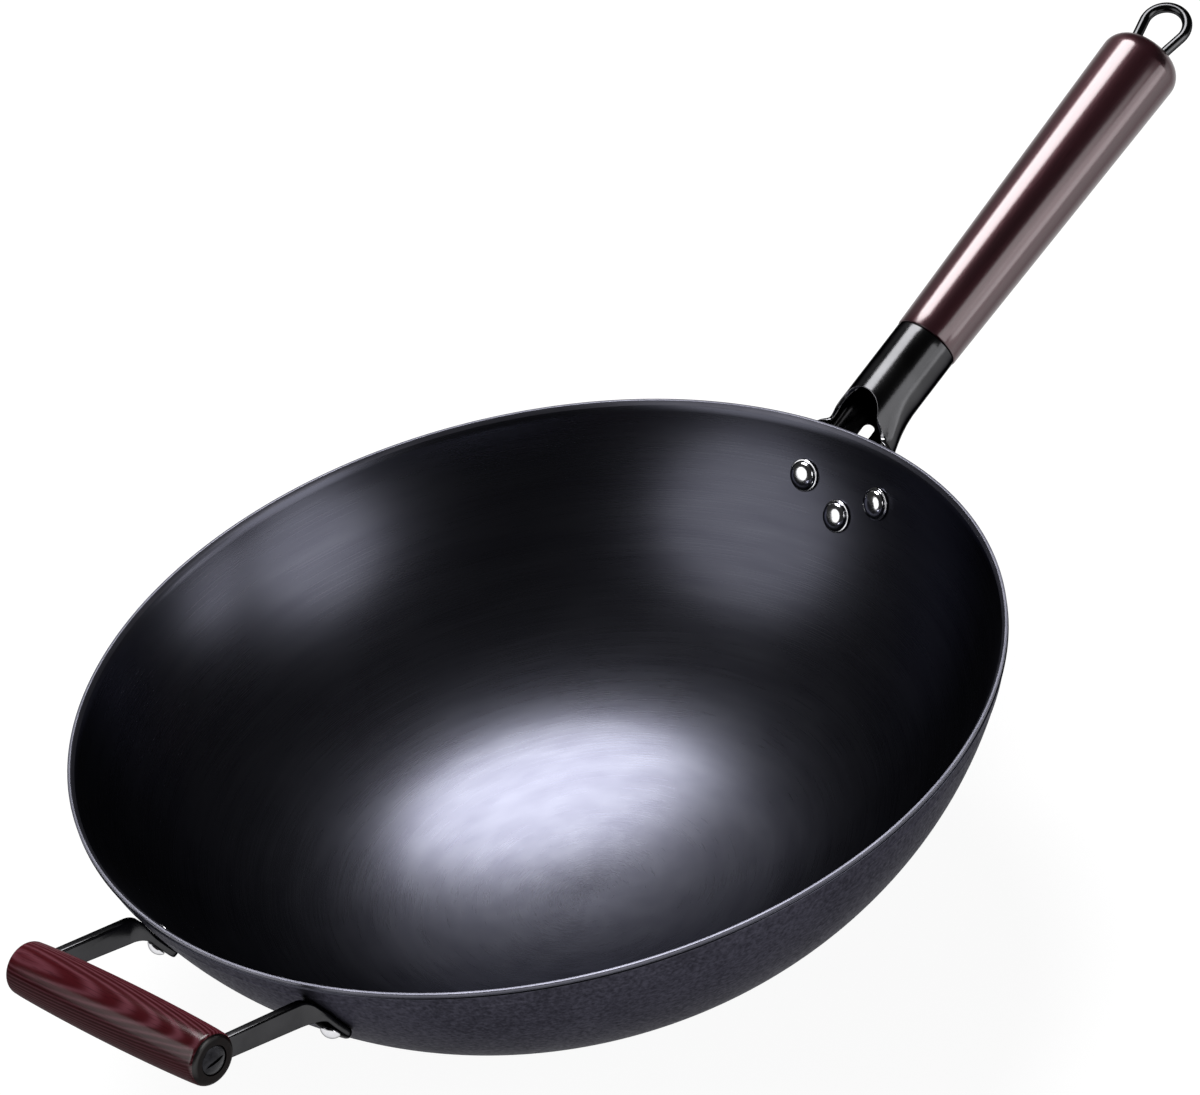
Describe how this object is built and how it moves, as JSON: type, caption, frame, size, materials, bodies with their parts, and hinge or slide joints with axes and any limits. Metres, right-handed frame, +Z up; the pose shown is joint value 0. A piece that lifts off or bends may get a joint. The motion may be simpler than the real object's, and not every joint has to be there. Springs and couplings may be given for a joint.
{
  "type": "wok",
  "caption": "Deep round-bellied cast iron pan with a flat base, a long turned wooden handle on a riveted steel socket, and a wooden helper handle between riveted steel arms.",
  "frame": {"origin": "centre of the flat base, on the surface the pan stands on", "axes": "+Z up, +X out along the long handle, +Y to the left of someone who looks along +X"},
  "size_m": [0.5957, 0.34, 0.1786],
  "materials": {
    "iron": "smooth dark seasoned iron with fine turning marks inside",
    "black_steel": "satin black paint on steel",
    "handle_wood": "dark maroon gloss lacquer",
    "helper_wood": "red-brown lacquered wood with visible grain",
    "rivet_steel": "bright polished steel",
    "fastener_steel": "blackened steel"
  },
  "bodies": {
    "root": {"wok_body": "iron", "handle_bracket": "black_steel", "handle_rivet_left": "rivet_steel", "handle_rivet_right": "rivet_steel", "handle_rivet_lower": "rivet_steel", "long_grip": "handle_wood", "grip_screw": "fastener_steel", "hanging_loop": "black_steel", "helper_grip": "helper_wood", "helper_strap_left": "black_steel", "helper_strap_right": "black_steel", "helper_rivet_left": "rivet_steel", "helper_rivet_right": "rivet_steel", "helper_bolt": "fastener_steel", "helper_nut": "fastener_steel"}
  },
  "joints": []
}
